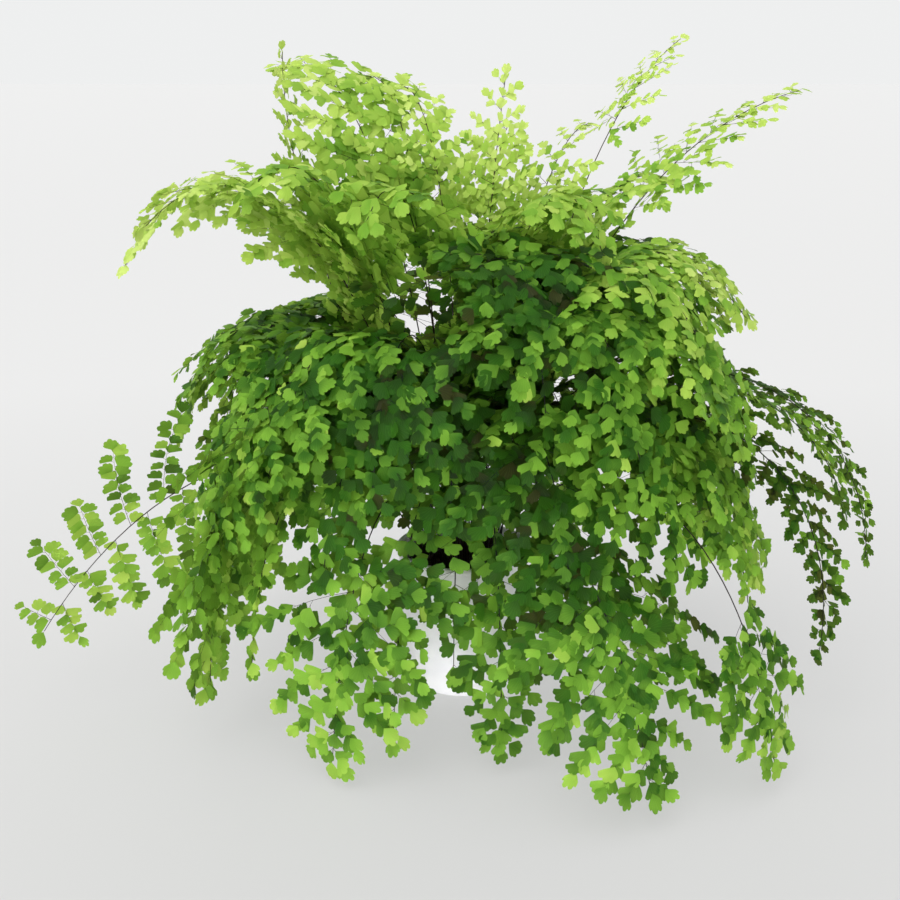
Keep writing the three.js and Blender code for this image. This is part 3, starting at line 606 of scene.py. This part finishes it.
# Injection-moulded polypropylene: smooth white plastic with a cool tint, a fine even mould grain and a few
# duller patches where water has dried.
def makePotMaterial(look):
    material, tree = newMaterial("mouldedWhitePolypropylene")
    place = addNode(tree, "TexCoord").outputs["Object"]
    grain = addNode(tree, "TexNoise", {"Scale": 1 / look["grainSize"], "Detail": 2.0}, {"Vector": place})
    stains = addNode(tree, "TexNoise", {"Scale": 1 / look["patchSize"], "Detail": 5.0, "Roughness": 0.6},
                     {"Vector": place})
    patch = addNode(tree, "MapRange", {"From Min": 0.42, "From Max": 0.72}, {"Value": stains.outputs["Fac"]})
    color = addNode(tree, "Mix", {"data_type": "RGBA", 6: linearColor(look["white"]),
                                  7: linearColor(look["shade"])}, {0: patch.outputs["Result"]})
    rough = addNode(tree, "MapRange", {"To Min": look["roughness"],
                                       "To Max": look["roughness"] + look["dulling"]},
                    {"Value": patch.outputs["Result"]})
    bump = addNode(tree, "Bump", {"Strength": 0.12, "Distance": look["grainHeight"]},
                   {"Height": grain.outputs["Fac"]})
    shader = addNode(tree, "BsdfPrincipled", {"IOR": 1.49, "Subsurface Weight": 0.08,
                                              "Subsurface Radius": [look["softness"]] * 3},
                     {"Base Color": color.outputs[2], "Roughness": rough.outputs["Result"],
                      "Normal": bump.outputs["Normal"]})
    finishMaterial(tree, shader.outputs["BSDF"])
    return material


# Spins a profile of (radius, height) points about the pot's axis.
def spin(profile, sides):
    rings = []
    for radius, height in profile:
        turns = np.linspace(0, 2 * math.pi, sides, endpoint=False)
        rings.append(np.stack([radius * np.cos(turns), radius * np.sin(turns), np.full(sides, height)], 1))
    faces = []
    for i in range(len(profile) - 1):
        for j in range(sides):
            p, q = i * sides + j, i * sides + (j + 1) % sides
            faces.append((p, q, q + sides, p + sides))
    return np.concatenate(rings), faces


# One sector of the pot's floor, with a drain hole in its middle: its underside, the hole's wall and its top.
def drainSector(look, number, reach):
    each = 2 * math.pi / look["drains"]
    steps = look["sides"] // look["drains"]
    turns = each * number + np.linspace(0, each, steps + 1)
    arc = reach * np.stack([np.cos(turns), np.sin(turns)], 1)
    inner = np.linspace(0, 1, 8)[:-1, None]     # places along the sector's two straight edges
    edge = np.vstack([arc[0] * inner, arc, (arc[-1] * inner)[:0:-1]])
    halfway = each * (number + 0.5)
    middle = look["drainCircle"] * np.array([math.cos(halfway), math.sin(halfway)])
    away = edge - middle
    hole = middle + look["drainRadius"] * away / np.linalg.norm(away, axis=1, keepdims=True)
    places = []
    for outline, height in ((edge, look["recess"]), (hole, look["recess"]), (hole, look["floor"]),
                            (edge, look["floor"])):
        places.append(np.column_stack([outline, np.full(len(edge), height)]))
    count = len(edge)
    faces = []
    for band in range(3):
        for j in range(count):
            p, q = band * count + j, band * count + (j + 1) % count
            faces.append((p, p + count, q + count, q))
    return np.concatenate(places), faces


# The profile runs from the floor's underside over the foot, the wall and the lip, and down the inside. Its
# small numbers round the edges.
def makePot(look):
    height, mouth, base, wall = look["height"], look["mouth"], look["base"], look["wall"]
    top = mouth - look["step"]
    underLip = height - look["lip"]

    def outer(z):
        return base + (top - base) * z / height

    reach = base - look["footWidth"]
    profile = [(reach, look["recess"]), (base - 4.5, 0.0), (base - 1.2, 0.0), (base - 0.35, 0.3), (base, 1.0),
               *[(outer(level), level) for level in look["levels"]],
               (outer(underLip - 0.6), underLip - 0.6), (outer(underLip) + 0.4, underLip + 0.1),
               (mouth - 0.3, underLip + look["step"] - 0.2), (mouth, underLip + look["step"] + 0.4),
               (mouth, height - 1.0), (mouth - 0.3, height - 0.3), (mouth - 1.0, height),
               (top - wall + 0.7, height), (top - wall, height - 0.6), (outer(60) - wall, 60),
               (outer(look["floor"]) - wall, look["floor"]), (reach, look["floor"])]
    places, faces = spin(profile, look["sides"])
    rounded = len(faces)
    for number in range(look["drains"]):
        sector, sectorFaces = drainSector(look, number, reach)
        faces += [tuple(i + len(places) for i in face) for face in sectorFaces]
        places = np.vstack([places, sector])
    mesh = bpy.data.meshes.new("moulded_pot")
    mesh.from_pydata((places * mm).tolist(), [], faces)
    mesh.materials.append(makePotMaterial(look))
    mesh.polygons.foreach_set("use_smooth", np.arange(len(faces)) < rounded)
    pot = bpy.data.objects.new("moulded_pot", mesh)
    bpy.context.scene.collection.objects.link(pot)
    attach(pot, "root")
    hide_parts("pot")


makePot(potLook)
print("pot made")


soilLook = {
    "top": 105, "radius": 51.0, "bottom": 3.2, "bottomRadius": 42.2, "rings": 30, "sides": 90,
    "waves": [(1.1, 9, 11), (0.7, 4.1, 5.3), (0.5, 2.7, 3.1)],      # height, and lengths along both axes
    "waveShifts": (0.7, 1.2), "sunk": 0.5, "unevenness": 0.35,
    "crumbs": 620, "crumbScale": (0.5, 1.0), "crumbLength": (0.8, 2.6), "crumbWidth": (0.6, 1.6),
    "crumbHeight": 0.9, "crumbUnevenness": 0.22, "crumbLift": 0.3, "crumbReach": 0.97,
    "colors": [(0.38, "#120c08"), (0.72, "#3a281b")],               # wet peat and drier bark
    "clodSize": 6 * mm, "fibreSize": 1.6 * mm, "fibreHeight": 0.8 * mm,
    "seed": 7,
}


# Peat and bark potting mix: loose, dark and rough, with paler fibres.
def makeSoilMaterial(look):
    material, tree = newMaterial("peatAndBarkMix")
    place = addNode(tree, "TexCoord").outputs["Object"]
    coarse = addNode(tree, "TexNoise", {"Scale": 1 / look["clodSize"], "Detail": 8.0, "Roughness": 0.65},
                     {"Vector": place})
    fine = addNode(tree, "TexVoronoi", {"Scale": 1 / look["fibreSize"]}, {"Vector": place})
    color = addNode(tree, "ValToRGB", None, {"Fac": coarse.outputs["Fac"]}, look["colors"])
    bump = addNode(tree, "Bump", {"Strength": 0.8, "Distance": look["fibreHeight"]},
                   {"Height": fine.outputs["Distance"]})
    shader = addNode(tree, "BsdfPrincipled", {"Roughness": 0.92, "IOR": 1.45, "Specular IOR Level": 0.25},
                     {"Base Color": color.outputs["Color"], "Normal": bump.outputs["Normal"]})
    finishMaterial(tree, shader.outputs["BSDF"])
    return material


# Height of the loose surface against its top level, as a sum of three waves.
def soilHeight(look, x, y):
    (high, slowX, slowY), (middle, middleX, middleY), (low, quickX, quickY) = look["waves"]
    slowShift, quickShift = look["waveShifts"]
    return (high * np.sin(x / slowX + slowShift) * np.cos(y / slowY)
            + middle * np.sin(x / middleX + y / middleY)
            + low * np.cos(x / quickX - y / quickY + quickShift) - look["sunk"])


# The soil is a closed plug with an uneven top, and crumbs of bark lie on it.
def makeSoil(look):
    rng = np.random.default_rng(look["seed"])
    batch = Batch()
    rings, sides = look["rings"], look["sides"]
    radii = look["radius"] * np.linspace(0, 1, rings + 1)[1:]
    turns = np.linspace(0, 2 * math.pi, sides, endpoint=False)
    x = np.concatenate([[0], (radii[:, None] * np.cos(turns)).ravel()])
    y = np.concatenate([[0], (radii[:, None] * np.sin(turns)).ravel()])
    z = look["top"] + soilHeight(look, x, y) + rng.normal(0, look["unevenness"], len(x))
    faces = [(0, 1 + j, 1 + (j + 1) % sides) for j in range(sides)]
    for i in range(rings - 1):
        for j in range(sides):
            p, q = 1 + i * sides + j, 1 + i * sides + (j + 1) % sides
            faces += [(p, p + sides, q + sides), (p, q + sides, q)]
    edge = 1 + (rings - 1) * sides
    taper = look["bottomRadius"] / look["radius"]
    skirt = np.stack([x[edge:] * taper, y[edge:] * taper, np.full(sides, look["bottom"])], 1)
    places = np.vstack([np.stack([x, y, z], 1), skirt, [[0, 0, look["bottom"]]]])
    for j in range(sides):
        p, q = edge + j, edge + (j + 1) % sides
        faces += [(p, p + sides, q + sides), (p, q + sides, q), (p + sides, len(places) - 1, q + sides)]
    batch.add(places, np.array(faces), 0, 0.5)
    cube = np.array([(u, v, w) for u in (-1, 1) for v in (-1, 1) for w in (-1, 1)], float)
    cubeFaces = np.array([(0, 1, 3), (0, 3, 2), (4, 6, 7), (4, 7, 5), (0, 4, 5), (0, 5, 1),
                          (2, 3, 7), (2, 7, 6), (0, 2, 6), (0, 6, 4), (1, 5, 7), (1, 7, 3)])
    for _ in range(look["crumbs"]):
        r = look["radius"] * look["crumbReach"] * math.sqrt(rng.uniform())
        turn = rng.uniform(0, 2 * math.pi)
        cx, cy = r * math.cos(turn), r * math.sin(turn)
        size = rng.uniform(*look["crumbScale"]) ** 2 * np.array(
            [rng.uniform(*look["crumbLength"]), rng.uniform(*look["crumbWidth"]), look["crumbHeight"]])
        basis = np.linalg.qr(rng.normal(0, 1, (3, 3)))[0]
        crumb = (cube + rng.normal(0, look["crumbUnevenness"], cube.shape)) * size @ basis
        cz = look["top"] + float(soilHeight(look, cx, cy)) + look["crumbLift"]
        batch.add(crumb + np.array([cx, cy, cz]), cubeFaces, 0, rng.uniform())
    soil = batch.build("loose_soil", [makeSoilMaterial(look)])
    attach(soil, "root")
    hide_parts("soil")


makeSoil(soilLook)
print("soil made")


studio = {
    "floor": "#767675", "floorReach": 40.0, "grainSize": 4 * mm, "grainHeight": 0.2 * mm,
    # the floor's glow is painted light: weaker near the plant, where its shadow falls, and stronger far away
    "glowCentre": (0, -0.5, 0), "glowNear": 0.44, "glowFar": 0.555, "nearDistance": 0.2, "farDistance": 1.6,
    "sky": "#f5f6f6", "skyStrength": 0.94,
    "sunPlace": (-0.35, -0.75, 1.1), "sunStrength": 1.5, "sunSoftness": 50.0,
    # place, size, power, color, the point each lamp looks at and the angle it spreads over
    "lamps": {
        "top_softbox": ((-0.3, -0.2, 1.9), 1.3, 4, "#ffffff", (0, 0, 0.25), 180),
        "left_softbox": ((-1.5, -1.0, 0.9), 0.9, 6, "#fffaf2", (0, 0, 0.25), 180),
        "low_softbox": ((-0.05, -1.7, 0.2), 0.6, 0.8, "#ffffff", (0, 0, 0.11), 34),
    },
    "cameraHeading": 0.0, "cameraRise": 17.0, "cameraDistance": 1.0, "lens": 50.0,
    "target": (-0.011, 0.0, 0.196),
}


# Painted studio floor: pale, matt and even, with the faintest roller grain. Its glow is painted light that
# softens the plant's shadow; it is weaker near the plant and grows away from it, standing in for light from
# white walls.
def makeFloorMaterial(look):
    material, tree = newMaterial("mattFloorPaintWithPaintedGlow")
    place = addNode(tree, "TexCoord").outputs["Object"]
    grain = addNode(tree, "TexNoise", {"Scale": 1 / look["grainSize"], "Detail": 3.0}, {"Vector": place})
    bump = addNode(tree, "Bump", {"Strength": 0.08, "Distance": look["grainHeight"]},
                   {"Height": grain.outputs["Fac"]})
    # Painted light: the floor glows less near the plant, where its shadow falls, and more far away.
    away = addNode(tree, "VectorMath", {"operation": "DISTANCE", 1: look["glowCentre"]}, {0: place})
    glow = addNode(tree, "MapRange", {"From Min": look["nearDistance"], "From Max": look["farDistance"],
                                      "To Min": look["glowNear"], "To Max": look["glowFar"]},
                   {"Value": away.outputs["Value"]})
    shader = addNode(tree, "BsdfPrincipled", {"Base Color": linearColor(look["floor"]), "Roughness": 0.7,
                                              "Emission Color": linearColor("#ffffff")},
                     {"Emission Strength": glow.outputs["Result"], "Normal": bump.outputs["Normal"]})
    finishMaterial(tree, shader.outputs["BSDF"])
    return material


def makeFloor(look):
    mesh = bpy.data.meshes.new("studio_floor")
    reach = look["floorReach"]
    mesh.from_pydata([(-reach, -reach, 0), (reach, -reach, 0), (reach, reach, 0), (-reach, reach, 0)], [],
                     [(0, 1, 2, 3)])
    mesh.materials.append(makeFloorMaterial(look))
    floor = bpy.data.objects.new("studio_floor", mesh)
    bpy.context.scene.collection.objects.link(floor)


def makeSky(look):
    world = bpy.data.worlds.new("studio_sky")
    world.use_nodes = True
    world.node_tree.nodes.clear()
    sky = addNode(world.node_tree, "Background",
                  {"Color": linearColor(look["sky"]), "Strength": look["skyStrength"]})
    addNode(world.node_tree, "OutputWorld", links={"Surface": sky.outputs["Background"]})
    bpy.context.scene.world = world


# Puts a lamp or a camera at a place, looking at a target with its own top upward.
def aim(thing, place, target):
    away = np.array(place) - np.array(target)
    thing.location = place
    thing.rotation_euler = (math.atan2(math.hypot(away[0], away[1]), away[2]), 0,
                            math.atan2(away[1], away[0]) + math.pi / 2)


def addLamp(name, place, size, power, color, target, spread):
    light = bpy.data.lights.new(name, "AREA")
    light.shape = "DISK"
    light.size = size
    light.energy = power
    light.spread = math.radians(spread)
    light.color = linearColor(color)[:3]
    lamp = bpy.data.objects.new(name, light)
    lamp.visible_camera = False
    aim(lamp, place, target)
    bpy.context.scene.collection.objects.link(lamp)


# A very soft sun, which lights the floor alike near the pot and far away.
def addSun(look):
    light = bpy.data.lights.new("soft_sun", "SUN")
    light.angle = math.radians(look["sunSoftness"])
    light.energy = look["sunStrength"]
    sun = bpy.data.objects.new("soft_sun", light)
    aim(sun, look["sunPlace"], (0, 0, 0))
    bpy.context.scene.collection.objects.link(sun)


def makeCamera(look):
    heading, rise = math.radians(look["cameraHeading"]), math.radians(look["cameraRise"])
    away = look["cameraDistance"]
    target = look["target"]
    place = (target[0] - away * math.cos(rise) * math.sin(heading),
             target[1] - away * math.cos(rise) * math.cos(heading), target[2] + away * math.sin(rise))
    camera = bpy.data.objects.new("camera", bpy.data.cameras.new("camera"))
    camera.data.lens = look["lens"]
    aim(camera, place, target)
    bpy.context.scene.collection.objects.link(camera)
    bpy.context.scene.camera = camera


makeFloor(studio)
makeSky(studio)
addSun(studio)
for name, lamp in studio["lamps"].items():
    addLamp(name, *lamp)
makeCamera(studio)
bpy.context.scene.view_settings.view_transform = "Standard"
print("stage made")
